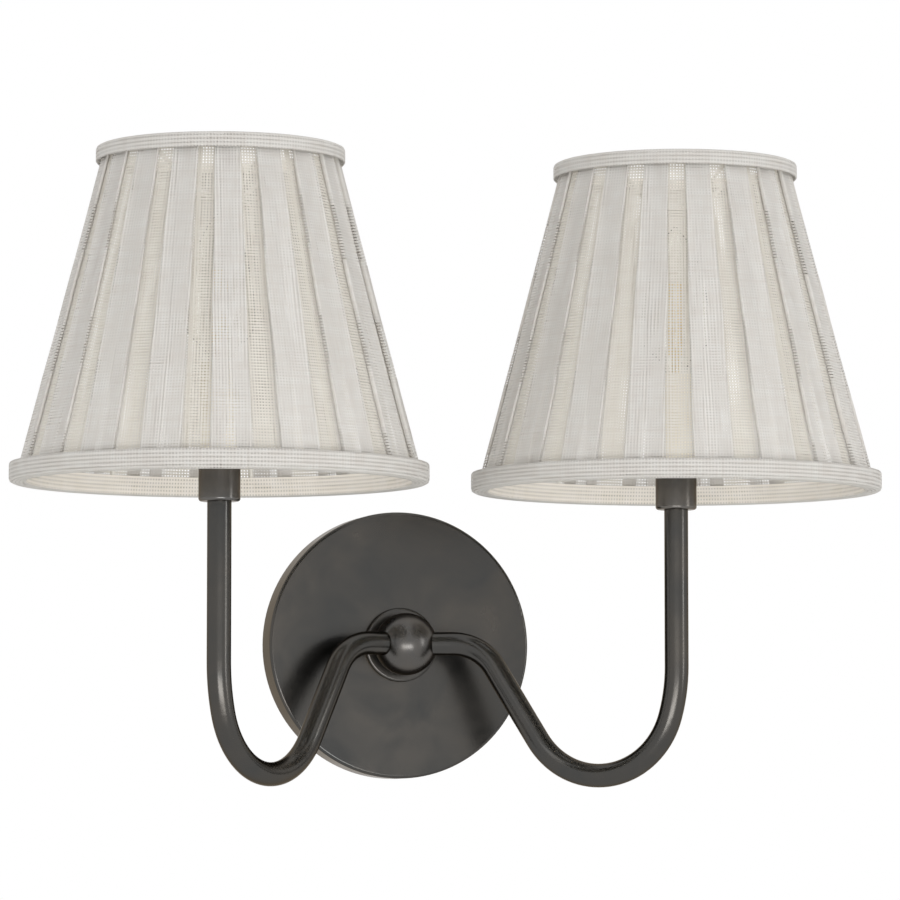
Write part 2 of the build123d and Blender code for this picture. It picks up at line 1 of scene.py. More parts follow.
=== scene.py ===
# %% [markdown]
# # Double arm wall sconce with box-pleated shades
# A wall plate carries a ball, and the ball carries two bent tubes. Each tube ends in a cup
# with a candle sleeve, a small bulb and a pleated shade of open-weave cloth. The metal parts
# come from the CAD model and only need a finish. The cloth is made here, because its folds
# and its holes are what a viewer sees first. Everything is in metres: the wall is at Y = 0,
# -Y comes out into the room and +Z is up.

# %% Load the frame
import math

import bpy
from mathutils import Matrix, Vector


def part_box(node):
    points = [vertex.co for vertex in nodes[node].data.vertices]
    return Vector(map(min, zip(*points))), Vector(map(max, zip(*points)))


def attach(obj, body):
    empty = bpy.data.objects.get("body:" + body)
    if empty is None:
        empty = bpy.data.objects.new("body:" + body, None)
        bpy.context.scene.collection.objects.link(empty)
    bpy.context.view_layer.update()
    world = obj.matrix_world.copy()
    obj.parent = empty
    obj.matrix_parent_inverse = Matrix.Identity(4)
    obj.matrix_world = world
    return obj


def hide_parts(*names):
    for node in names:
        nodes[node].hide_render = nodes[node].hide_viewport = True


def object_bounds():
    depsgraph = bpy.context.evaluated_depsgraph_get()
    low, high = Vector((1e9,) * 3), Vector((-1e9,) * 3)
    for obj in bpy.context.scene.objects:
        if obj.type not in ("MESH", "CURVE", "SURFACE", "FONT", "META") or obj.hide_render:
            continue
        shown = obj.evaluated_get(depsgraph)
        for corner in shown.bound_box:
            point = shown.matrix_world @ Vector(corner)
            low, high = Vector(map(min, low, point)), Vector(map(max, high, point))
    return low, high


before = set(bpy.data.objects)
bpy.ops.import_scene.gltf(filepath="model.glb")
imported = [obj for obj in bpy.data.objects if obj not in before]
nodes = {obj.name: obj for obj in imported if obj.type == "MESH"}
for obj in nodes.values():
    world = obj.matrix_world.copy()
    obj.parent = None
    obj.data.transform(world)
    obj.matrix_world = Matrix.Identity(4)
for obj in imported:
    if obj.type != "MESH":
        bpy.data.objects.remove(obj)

SIDES = ("left", "right")
cad_low, cad_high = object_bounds()
print("CAD box", [round(v, 4) for v in cad_high - cad_low])

# %% [markdown]
# Two small helpers serve every finish. Colours are written as the hex values a painter would
# read off a swatch, and Blender works in linear light, so one function converts them. The
# other adds a shader or geometry node, fills in its settings and links its inputs.

# %% Colour and node helpers
def linear(hex_colour):
    """Linear RGBA from an sRGB hex value."""
    values = [int(hex_colour[i : i + 2], 16) / 255 for i in (1, 3, 5)]
    return [v / 12.92 if v <= 0.04045 else ((v + 0.055) / 1.055) ** 2.4 for v in values] + [1.0]


def add(tree, kind, inputs=None, **settings):
    """Adds a node. Each input gets a plain value, or a socket that is linked to it."""
    node = tree.nodes.new(kind)
    for name, value in settings.items():
        setattr(node, name, value)
    for key, value in (inputs or {}).items():
        if isinstance(value, bpy.types.NodeSocket):
            tree.links.new(value, node.inputs[key])
        else:
            node.inputs[key].default_value = value
    return node


def new_material(name):
    """An empty material and its tree."""
    material = bpy.data.materials.new(name)
    material.use_nodes = True
    material.node_tree.nodes.clear()
    return material, material.node_tree


def dress(material, *node_names):
    """Gives CAD nodes a material."""
    for name in node_names:
        mesh = nodes[name].data
        mesh.materials.clear()
        mesh.materials.append(material)


def both(*piece_names):
    """The left and the right node of each name."""
    return [side + "_" + name for side in SIDES for name in piece_names]


# %% [markdown]
# The photograph was taken from a little to the left of the wall plate and a little below it,
# through a long lens. The camera's place was worked out from the plate's ellipse, the stems
# and the shades' rims, so it is given here as plain distances.

# %% Camera
CAMERA_PLACE = Vector((-0.60437, -2.34433, -0.09734))
CAMERA_YAW = math.radians(15.12)
CAMERA_PITCH = math.radians(4.531)
CAMERA_LENS_MM = 201.85
CAMERA_SENSOR_MM = 36.0
CAMERA_SEES_TO = 50.0

looking = Vector((
    math.sin(CAMERA_YAW) * math.cos(CAMERA_PITCH),
    math.cos(CAMERA_YAW) * math.cos(CAMERA_PITCH),
    math.sin(CAMERA_PITCH),
))
camera = bpy.data.objects.new("camera", bpy.data.cameras.new("camera"))
camera.location = CAMERA_PLACE
camera.rotation_mode = "QUATERNION"
camera.rotation_quaternion = looking.to_track_quat("-Z", "Y")
camera.data.lens = CAMERA_LENS_MM
camera.data.sensor_width = CAMERA_SENSOR_MM
camera.data.clip_end = CAMERA_SEES_TO
bpy.context.scene.collection.objects.link(camera)
bpy.context.scene.camera = camera
print("camera looks along", [round(v, 3) for v in looking])

# %% [markdown]
# The studio is white all round. The world shows pure white to the camera, in reflections and
# through glass, and lights the object as strongly, so that the lamps only have to shape it.
# The floor lies well below the sconce. It is pale paint, which takes the object's shadow, and
# in reflections it too is pure white.

# %% World and floor
WORLD_LIGHT = 1.0
FLOOR_DROP = 0.35
FLOOR_HALF = 2.5

scene = bpy.context.scene
scene.view_settings.view_transform = "Standard"
world = bpy.data.worlds.new("white studio")
scene.world = world
world.use_nodes = True
tree = world.node_tree
tree.nodes.clear()
path = add(tree, "ShaderNodeLightPath")
seen = add(tree, "ShaderNodeMath", {0: path.outputs["Is Camera Ray"], 1: path.outputs["Is Glossy Ray"]},
           operation="MAXIMUM")
seen = add(tree, "ShaderNodeMath", {0: seen.outputs[0], 1: path.outputs["Is Transmission Ray"]},
           operation="MAXIMUM")
lit = add(tree, "ShaderNodeBackground", {"Color": linear("#ffffff"), "Strength": WORLD_LIGHT})
shown = add(tree, "ShaderNodeBackground", {"Color": linear("#ffffff"), "Strength": 1.0})
mix = add(tree, "ShaderNodeMixShader", {0: seen.outputs[0], 1: lit.outputs[0], 2: shown.outputs[0]})
add(tree, "ShaderNodeOutputWorld", {0: mix.outputs[0]})

floor_material, tree = new_material("pale studio floor")
path = add(tree, "ShaderNodeLightPath")
paint = add(tree, "ShaderNodeBsdfDiffuse", {"Color": linear("#ececea")})
glow = add(tree, "ShaderNodeEmission", {"Color": linear("#ffffff"), "Strength": 1.0})
mix = add(tree, "ShaderNodeMixShader",
          {0: path.outputs["Is Glossy Ray"], 1: paint.outputs[0], 2: glow.outputs[0]})
add(tree, "ShaderNodeOutputMaterial", {0: mix.outputs[0]})

floor_height = cad_low.z - FLOOR_DROP
mesh = bpy.data.meshes.new("studio_floor")
corners = [(x * FLOOR_HALF, y * FLOOR_HALF, floor_height) for x, y in ((-1, -1), (1, -1), (1, 1), (-1, 1))]
mesh.from_pydata(corners, [], [(0, 1, 2, 3)])
mesh.materials.append(floor_material)
floor = bpy.data.objects.new("studio_floor", mesh)
scene.collection.objects.link(floor)
print("floor at", round(floor_height, 3))

# %% [markdown]
# Three soft lamps stand in front of the wall. The large one up on the left gives the shades
# their gentle shape, a narrow one on the right draws the long bright lines along the tubes,
# and a low one opens the underside.

# %% Lamps
def lamp(name, place, target, width, height, power):
    """A rectangular soft lamp that looks at a point."""
    light = bpy.data.lights.new(name, "AREA")
    light.shape = "RECTANGLE"
    light.size = width
    light.size_y = height
    light.energy = power
    holder = bpy.data.objects.new(name, light)
    holder.location = place
    holder.rotation_mode = "QUATERNION"
    holder.rotation_quaternion = (Vector(target) - Vector(place)).to_track_quat("-Z", "Y")
    scene.collection.objects.link(holder)
    return holder


MIDDLE = (0.0, -0.1, 0.06)
lamp("key_lamp", (-1.3, -1.6, 1.5), MIDDLE, 1.0, 1.0, 3.0)
lamp("line_lamp", (1.5, -1.2, 0.5), MIDDLE, 0.25, 1.4, 5.5)
lamp("low_lamp", (-0.2, -1.4, -0.3), MIDDLE, 1.0, 0.3, 6.0)

# %% [markdown]
# ## Metal
# The plate, ball, tubes and cups are steel with a dark burnished finish: a grey-brown patina
# rubbed back and waxed. It is a metal, so its colour is the colour of its reflections. Hand
# rubbing leaves patches that are warmer, cooler, duller or shinier, a few centimetres across,
# which a slow noise draws, and a fine one breaks up the highlights. The wax keeps the edges
# from flaring where the surface turns away, so the specular tint is set darker than white.
# The ball and the cups get paler copies of the same finish than the plate and the tubes;
# the paler tone is painted light. The ball is also a little duller.

# %% Burnished gunmetal
PATCH_MM = 28.0
GRAIN_MM = 1.6
NOISE_LOW, NOISE_HIGH = 0.3, 0.7  # a noise is nearly always between these
DULLER_BY = 0.12


def burnished_gunmetal(name, cool, warm, smoothest=0.16):
    """Dark waxed patina on steel: deep grey-brown, half polished, slightly patchy."""
    material, tree = new_material(name)
    place = add(tree, "ShaderNodeTexCoord")
    patches = add(tree, "ShaderNodeTexNoise", {"Vector": place.outputs["Object"], "Scale": 1000 / PATCH_MM,
                                               "Detail": 3.0, "Roughness": 0.55, "Distortion": 0.6})
    colour = add(tree, "ShaderNodeValToRGB", {0: patches.outputs["Fac"]})
    ramp = colour.color_ramp
    ramp.elements[0].position = NOISE_LOW
    ramp.elements[0].color = linear(cool)
    ramp.elements[1].position = NOISE_HIGH
    ramp.elements[1].color = linear(warm)
    grain = add(tree, "ShaderNodeTexNoise", {"Vector": place.outputs["Object"], "Scale": 1000 / GRAIN_MM,
                                             "Detail": 2.0})
    dull = add(tree, "ShaderNodeMapRange",
               {"Value": patches.outputs["Fac"], "From Min": NOISE_LOW, "From Max": NOISE_HIGH,
                "To Min": smoothest, "To Max": smoothest + DULLER_BY})
    bump = add(tree, "ShaderNodeBump", {"Height": grain.outputs["Fac"], "Strength": 0.06, "Distance": 0.0002})
    skin = add(tree, "ShaderNodeBsdfPrincipled",
               {"Base Color": colour.outputs["Color"], "Roughness": dull.outputs["Result"],
                "Normal": bump.outputs["Normal"], "Metallic": 1.0, "Specular Tint": linear("#c4bcb2")})
    add(tree, "ShaderNodeOutputMaterial", {0: skin.outputs[0]})
    return material


dress(burnished_gunmetal("burnished_gunmetal", "#484847", "#524f4b"),
      "wall_plate", "hub_boss", "plate_screws", *both("arm"))
# Paler copies of the finish, painted light, for the ball and the cups.
dress(burnished_gunmetal("gunmetal_ball_painted_light", "#575655", "#625e59", smoothest=0.24), "hub_ball")
dress(burnished_gunmetal("gunmetal_cup_painted_light", "#626160", "#6d6964"), *both("cup"))

# %% [markdown]
# Behind the plate, inside the cups and on the bulbs are metals that nobody polishes. Each is
# one colour that drifts a little, like cloudy zinc plate or handled brass. Screw shells are
# rolled from thin sheet, so their thread is a soft wave. The model has plain tubes there, and
# a bump along the height draws the wave at the real pitch of a small bulb base.

# %% Plain metals
THREAD_PITCH_MM = 2.54
CLOUD_DEPTH, THREAD_DEPTH = 0.00005, 0.0005


def plain_metal(name, light, dark, roughness, cloud_mm, pitch_mm=0.0):
    """Metal whose colour drifts between two tones, with a rolled thread if it has a pitch."""
    material, tree = new_material(name)
    place = add(tree, "ShaderNodeTexCoord")
    cloud = add(tree, "ShaderNodeTexNoise", {"Vector": place.outputs["Object"], "Scale": 1000 / cloud_mm,
                                             "Detail": 4.0})
    colour = add(tree, "ShaderNodeMix", {"Factor": cloud.outputs["Fac"], "A": linear(dark),
                                         "B": linear(light)}, data_type="RGBA")
    skin = add(tree, "ShaderNodeBsdfPrincipled", {"Base Color": colour.outputs["Result"], "Metallic": 1.0,
                                                  "Roughness": roughness})
    height = cloud.outputs["Fac"]
    depth = CLOUD_DEPTH
    if pitch_mm:
        split = add(tree, "ShaderNodeSeparateXYZ", {0: place.outputs["Object"]})
        turns = add(tree, "ShaderNodeMath", {0: split.outputs["Z"], 1: 1000 / pitch_mm * 2 * math.pi},
                    operation="MULTIPLY")
        height = add(tree, "ShaderNodeMath", {0: turns.outputs[0]}, operation="SINE").outputs[0]
        depth = THREAD_DEPTH
    bump = add(tree, "ShaderNodeBump", {"Height": height, "Strength": 0.5, "Distance": depth})
    tree.links.new(bump.outputs[0], skin.inputs["Normal"])
    add(tree, "ShaderNodeOutputMaterial", {0: skin.outputs[0]})
    return material


zinc = plain_metal("zinc_plated_steel", "#c9ccce", "#a9abac", 0.34, 6.0)
dress(zinc, "mounting_strap", "hub_nipple", "hub_lock_washer", "hub_nut",
      *both("cup_nipple", "cup_nut", "socket_bracket"))
dress(plain_metal("green_dyed_zinc", "#3f7a52", "#2f6343", 0.38, 4.0), "ground_screw")
dress(plain_metal("spun_brass", "#d8bd7c", "#c2a262", 0.3, 7.0, THREAD_PITCH_MM), *both("socket_shell"))
dress(plain_metal("stamped_brass", "#d3b878", "#bd9d5e", 0.32, 5.0), *both("socket_contact"))
dress(plain_metal("nickel_plated_brass", "#cfcbc2", "#b7b2a8", 0.28, 7.0, THREAD_PITCH_MM),
      *both("bulb_shell"))
dress(plain_metal("tin_solder", "#b4b5b6", "#8f9091", 0.42, 2.0), *both("bulb_tip"))
print("metals dressed")

# %% [markdown]
# The wires of a shade frame and of a bulb clip are steel, dipped in white enamel so that they
# don't show through the cloth. The candle sleeve is ivory card, the socket is dark moulded
# resin and the lead has a pale vinyl jacket. In the bulb, the base has a ring of black glass
# and the filament rods are coated with yellow phosphor. None is a metal on its surface, and all
# share one recipe: a body colour with a slow drift, a sheen from its roughness, and a fine grain.

# %% Painted, moulded and paper surfaces
GLOSS_DRIFT = 0.05


def moulded(name, light, dark, roughness, cloud_mm, grain_mm, grain_depth_mm, coat=0.0):
    """A surface that isn't metal: a drifting body colour and a fine grain."""
    material, tree = new_material(name)
    place = add(tree, "ShaderNodeTexCoord")
    cloud = add(tree, "ShaderNodeTexNoise", {"Vector": place.outputs["Object"], "Scale": 1000 / cloud_mm,
                                             "Detail": 3.0})
    grain = add(tree, "ShaderNodeTexNoise", {"Vector": place.outputs["Object"], "Scale": 1000 / grain_mm,
                                             "Detail": 2.0})
    colour = add(tree, "ShaderNodeMix", {"Factor": cloud.outputs["Fac"], "A": linear(dark),
                                         "B": linear(light)}, data_type="RGBA")
    gloss = add(tree, "ShaderNodeMapRange", {"Value": cloud.outputs["Fac"],
                                             "To Min": roughness - GLOSS_DRIFT,
                                             "To Max": roughness + GLOSS_DRIFT})
    bump = add(tree, "ShaderNodeBump", {"Height": grain.outputs["Fac"], "Strength": 0.5,
                                        "Distance": grain_depth_mm / 1000})
    skin = add(tree, "ShaderNodeBsdfPrincipled", {"Base Color": colour.outputs["Result"],
                                                  "Roughness": gloss.outputs[0],
                                                  "Normal": bump.outputs[0], "Coat Weight": coat})
    add(tree, "ShaderNodeOutputMaterial", {0: skin.outputs[0]})
    return material


dress(moulded("white_enamelled_wire", "#e6e3dc", "#d8d4cb", 0.42, 9.0, 0.8, 0.03, 0.3),
      *both("bulb_clip", "clip_rivet", "shade_spider", "shade_top_ring", "shade_bottom_ring", "shade_struts"))
dress(moulded("ivory_card_sleeve", "#ece5d4", "#e2d9c5", 0.62, 12.0, 0.5, 0.04), *both("candle_sleeve"))
dress(moulded("dark_moulded_resin", "#2c2926", "#1f1d1b", 0.36, 5.0, 0.7, 0.02), *both("socket_body"))
dress(moulded("pale_vinyl_jacket", "#d3cbb8", "#c6bda8", 0.5, 8.0, 0.6, 0.02), *both("arm_lead"))
dress(moulded("black_base_glass", "#141416", "#0b0b0c", 0.12, 4.0, 1.5, 0.01), *both("bulb_insulator"))
dress(moulded("phosphor_coated_rods", "#e8cf8a", "#dcc078", 0.55, 3.0, 0.4, 0.02), *both("bulb_filament"))


# %% [markdown]
# The bulb is blown from clear soda-lime glass. Its wall has an inner and an outer surface in
# the model, so light bends in and out again as in the real one. The model's wall is thicker
# than a real bulb's, which would darken its outline, so light is bent less than by real glass.

# %% Clear glass
GLASS_RIPPLE_MM = 50 / 3  # three ripples in 50 mm
GLASS_IOR = 1.2


def blown_glass():
    """Clear soda-lime glass with the slightest ripple from blowing."""
    material, tree = new_material("blown_soda_lime_glass")
    place = add(tree, "ShaderNodeTexCoord")
    ripple = add(tree, "ShaderNodeTexNoise",
                 {"Vector": place.outputs["Object"], "Scale": 1000 / GLASS_RIPPLE_MM, "Detail": 1.0})
    bump = add(tree, "ShaderNodeBump", {"Height": ripple.outputs["Fac"], "Strength": 0.1, "Distance": 0.0003})
    skin = add(tree, "ShaderNodeBsdfPrincipled", {"Base Color": linear("#fbfbf8"), "Roughness": 0.0,
                                                  "IOR": GLASS_IOR, "Transmission Weight": 1.0,
                                                  "Normal": bump.outputs[0]})
    add(tree, "ShaderNodeOutputMaterial", {0: skin.outputs[0]})
    return material


dress(blown_glass(), *both("bulb_glass"))
print("small parts dressed")

# %% [markdown]
# ## Cloth
# The shades are open-weave cloth, such as scrim or coarse linen: square-set threads with gaps
# nearly as wide as the threads. Up close that could be thousands of threads, but two shades
# of it would be far too heavy. So the cloth is a plain surface, and its material cuts the
# holes: it divides the cloth into cells one thread wide and turns the middle of each cell
# clear. The holes line up with the cloth because it is measured in metres along the threads.

# %% Open-weave cloth
def open_weave(name, pitch_mm, gap, colour, shade_colour, pleat_mm=0.0):
    """Plain-woven linen scrim with see-through gaps; slubs make threads swell and thin."""
    material, tree = new_material(name)
    cloth = add(tree, "ShaderNodeUVMap", uv_map="UVMap")
    place = add(tree, "ShaderNodeSeparateXYZ", {0: cloth.outputs[0]})
    thickness, off_centre = [], []
    for own, other, pitch in (("X", "Y", pitch_mm[0]), ("Y", "X", pitch_mm[1])):
        # The place within one cell: 0 in the middle of the gap, 0.5 in the middle of a thread.
        cell = add(tree, "ShaderNodeMath", {0: place.outputs[own], 1: 1000 / pitch}, operation="MULTIPLY")
        part = add(tree, "ShaderNodeMath", {0: cell.outputs[0]}, operation="FRACT")
        middle = add(tree, "ShaderNodeMath", {0: part.outputs[0], 1: 0.5}, operation="SUBTRACT")
        off_centre.append(add(tree, "ShaderNodeMath", {0: middle.outputs[0]}, operation="ABSOLUTE"))
        # Each gap has its own width, which drifts along the thread.
        number = add(tree, "ShaderNodeMath", {0: cell.outputs[0]}, operation="FLOOR")
        spot = add(tree, "ShaderNodeCombineXYZ", {0: number.outputs[0], 1: 0.0,
                                                  2: WEFT_SHIFT * len(thickness)})
        drift = add(tree, "ShaderNodeMath", {0: place.outputs[other], 1: 1000 / SLUB_MM},
                    operation="MULTIPLY")
        tree.links.new(drift.outputs[0], spot.inputs[1])
        slub = add(tree, "ShaderNodeTexNoise", {"Vector": spot.outputs[0], "Scale": SLUB_SCALE,
                                                "Detail": 1.5})
        thickness.append(slub)
    inside = []
    for centre, slub, half in zip(off_centre, thickness, gap):
        width = add(tree, "ShaderNodeMapRange",
                    {"Value": slub.outputs["Fac"], "From Min": NOISE_LOW, "From Max": NOISE_HIGH,
                     "To Min": half - GAP_SPREAD, "To Max": half + GAP_SPREAD})
        inside.append(add(tree, "ShaderNodeMath", {0: centre.outputs[0], 1: width.outputs[0]},
                          operation="LESS_THAN"))
    hole = add(tree, "ShaderNodeMath", {0: inside[0].outputs[0], 1: inside[1].outputs[0]},
               operation="MULTIPLY")

    tint = add(tree, "ShaderNodeMath", {0: thickness[0].outputs["Fac"], 1: thickness[1].outputs["Fac"]},
               operation="ADD")
    tint = add(tree, "ShaderNodeMapRange", {"Value": tint.outputs[0], "From Min": TINT_RANGE[0],
                                            "From Max": TINT_RANGE[1]})
    tone = add(tree, "ShaderNodeMix", {"Factor": tint.outputs[0], "A": linear(colour),
                                       "B": linear(shade_colour)}, data_type="RGBA")
    if pleat_mm:
        # The cloth between two panels lies lowest, and painted shade tones it down and warms it there:
        # 0 is the middle of a panel and 0.5 the middle of the stretch between two.
        pleat = add(tree, "ShaderNodeMath", {0: place.outputs["X"], 1: 1000 / pleat_mm}, operation="MULTIPLY")
        part = add(tree, "ShaderNodeMath", {0: pleat.outputs[0], 1: 0.5}, operation="PINGPONG")
        sunk = add(tree, "ShaderNodeMapRange", {"Value": part.outputs[0], "From Min": PAINTED_SHADE_FROM[0],
                                                "From Max": PAINTED_SHADE_FROM[1]})
        tone = add(tree, "ShaderNodeMix", {"Factor": sunk.outputs[0], "A": tone.outputs["Result"],
                                           "B": linear(PAINTED_SHADE_TONE)}, data_type="RGBA", blend_type="MULTIPLY")
    # A round thread turns away from the light at its sides, so it's darker along each gap.
    crown = add(tree, "ShaderNodeMath", {0: off_centre[0].outputs[0], 1: off_centre[1].outputs[0]},
                operation="MAXIMUM")
    flank = add(tree, "ShaderNodeMapRange",
                {"Value": crown.outputs[0], "From Min": gap[0] - FLANK_REACH[0],
                 "From Max": gap[0] + FLANK_REACH[1], "To Min": FLANK, "To Max": 1.0})
    tone = add(tree, "ShaderNodeVectorMath", {0: tone.outputs["Result"], "Scale": flank.outputs[0]},
               operation="SCALE")
    round_thread = add(tree, "ShaderNodeBump", {"Height": crown.outputs[0], "Strength": 0.35,
                                                "Distance": 0.0003})
    thread = add(tree, "ShaderNodeBsdfPrincipled", {"Base Color": tone.outputs[0], "Roughness": 0.85,
                                                    "Normal": round_thread.outputs[0],
                                                    "Specular IOR Level": 0.2})
    through = add(tree, "ShaderNodeBsdfTranslucent", {"Color": tone.outputs[0]})
    fibre = add(tree, "ShaderNodeMixShader", {0: LIGHT_THROUGH, 1: thread.outputs[0], 2: through.outputs[0]})
    clear = add(tree, "ShaderNodeBsdfTransparent")
    skin = add(tree, "ShaderNodeMixShader", {0: hole.outputs[0], 1: fibre.outputs[0], 2: clear.outputs[0]})
    add(tree, "ShaderNodeOutputMaterial", {0: skin.outputs[0]})
    return material


# The real threads lie about 1.3 mm apart. They are drawn at 1.4 mm on the pleats and up to 1.75 mm
# on the bands, so that the gaps show.
THREAD_MM = 1.4
BAND_MM = (1.5, 1.75)
THREADS_PER_PLEAT = 41
CLOTH_PER_PLEAT = THREADS_PER_PLEAT * THREAD_MM / 1000
# Painted shade on the cloth between two panels: where it begins, and its tone.
PAINTED_SHADE_FROM = (0.38, 0.42)
PAINTED_SHADE_TONE = "#faf8f3"
SLUB_MM, SLUB_SCALE = 14.0, 0.9
WEFT_SHIFT = 3.0  # far enough for the two thread directions to get their own slubs
TINT_RANGE = (0.7, 1.3)  # for two noises added up
PLEAT_GAP = (0.22, 0.21)
BAND_GAP = (0.22, 0.13)
GAP_SPREAD = 0.07
FLANK = 0.8
FLANK_REACH = (0.04, 0.12)
LIGHT_THROUGH = 0.26
pleat_cloth = open_weave("linen_scrim_pleats", (THREAD_MM, THREAD_MM), PLEAT_GAP, "#dfddd9", "#d8d4cf",
                         CLOTH_PER_PLEAT * 1000)
band_cloth = open_weave("linen_scrim_bands", BAND_MM, BAND_GAP, "#d9d7d3", "#d1cdc8")
# The inside of the bands: the same cloth, lighter and warmer, as painted light.
painted_light_cloth = open_weave("scrim_inside_painted_light", BAND_MM, BAND_GAP, "#fffaf3", "#faf4ea")
print("cloth set at", THREAD_MM, "mm a thread")

# %% [markdown]
# ## Pleats
# A box pleat is a flat panel whose two edges fold back underneath it. Round a tapered frame
# the cloth keeps its full width from top to bottom, so the panels get narrower towards the
# top and the part folded under gets wider: under a panel lie up to five layers, and between
# two panels only one. It could be drawn by hand as a section and lofted, but eighteen equal
# pleats that follow a rule are what Geometry Nodes do best. One flat strip of faces carries
# three shares for each column: how far it is across the panel, under the fold and across the
# gap. The tree copies the strip round the shade and turns the shares into places.

# %% One pleat as a strip
ROWS = 22
EVEN = (0.0, 0.35, 0.65, 1.0)
STRIP_STEP = 0.001
EDGE_LIFT = 2.0  # a folded edge springs up by this many layers


def pleat_columns():
    """Columns of one pleat along the cloth: (panel, under, gap), cloth under, layer, bulge."""
    # From the middle of one gap in under the panel and back to its left edge, across the panel,
    # in under it from the right edge and back out to the middle of the next gap.
    columns = []
    for k in (-1.0, -0.5, 0.0):
        columns.append(((-1, 0, k), -2.0, 4 + k, 0.0))
    columns += [((-1, k, 0), -2.0 + k, 4.0, 0.0) for k in EVEN[1:]]
    columns += [((-1, 1, 0), -1.0, 3.5, 1.0)]
    columns += [((-1, 1 - k, 0), k - 1.0, 3.0, 0.0) for k in EVEN]
    columns += [((-1, 0, 0), 0.0, layer, -bulge) for layer, bulge in ((2.4, 1.0), (1.2, 1.4), (0.0, 1.2))]
    columns += [((k, 0, 0), 0.0, -EDGE_LIFT * k * k, 0.0) for k in (-1.0, -0.94, -0.5, 0.0, 0.5, 0.94, 1.0)]
    columns += [((1, 0, 0), 0.0, layer, bulge) for layer, bulge in ((-0.6, 1.0), (0.4, 1.0))]
    columns += [((1, -k, 0), k, 1.0, 0.0) for k in EVEN]
    columns += [((1, -1, 0), 1.0, 1.5, -1.0)]
    columns += [((1, k - 1, 0), 1.0 + k, 2.0, 0.0) for k in EVEN]
    columns += [((1, 0, k), 2.0, 2.0 + k, 0.0) for k in (0.5, 1.0)]
    return columns


def pleat_strip():
    """A mesh of the columns by rows, with the shares stored on its points."""
    columns = pleat_columns()
    wide = len(columns)
    points = [(STRIP_STEP * i, 0.0, row / ROWS) for row in range(ROWS + 1) for i in range(wide)]
    faces = [(row * wide + i, row * wide + i + 1, (row + 1) * wide + i + 1, (row + 1) * wide + i)
             for row in range(ROWS) for i in range(wide - 1)]
    mesh = bpy.data.meshes.new("pleat_strip")
    mesh.from_pydata(points, [], faces)
    across = mesh.attributes.new("across", "FLOAT_VECTOR", "POINT")
    along = mesh.attributes.new("along", "FLOAT_VECTOR", "POINT")
    fold = mesh.attributes.new("fold", "FLOAT_VECTOR", "POINT")
    for index in range(len(points)):
        shares, cloth_under, layer, bulge = columns[index % wide]
        across.data[index].vector = shares
        along.data[index].vector = (shares[0], cloth_under, shares[2])
        fold.data[index].vector = (layer, bulge, 0.0)
    return mesh


strip = bpy.data.objects.new("pleat_strip", pleat_strip())
print("strip of", len(strip.data.polygons), "faces")

# %% [markdown]
# The tree works in metres. At each height it knows the radius, so it knows the room for one
# pleat, its panel and its gap; what is left of the cloth goes under. Two noises with a fixed
# seed let the panels wander by up to half a millimetre and the layers under them by up to two,
# most near mid height and not at all at the bands, where the cloth is sewn down. The texture map
# is written before the cloth is bent, while the shares are at hand, and runs on from one pleat
# to the next.

# %% The pleat tree
FOLD_ROUNDING = 0.0002
LAYERS_UNDER = 4
NOISE_MIDDLE = 0.5
WANDER_DOWN, WANDER_ACROSS = 2.6, 3.7  # so neighbouring pleats differ
FOLD_SHIFT = (17.0, 5.0, 2.0)  # takes the second noise from another place
FOLD_SCALE = 1.6
UNDER_MORE = 3.0
RIPPLE_DOWN, RIPPLE_SCALE = 1.2, 4.0
RIPPLE_INWARDS = 0.75  # above the noise's middle, so hardly any ripple stands proud
MERGE_WITHIN = 0.00001


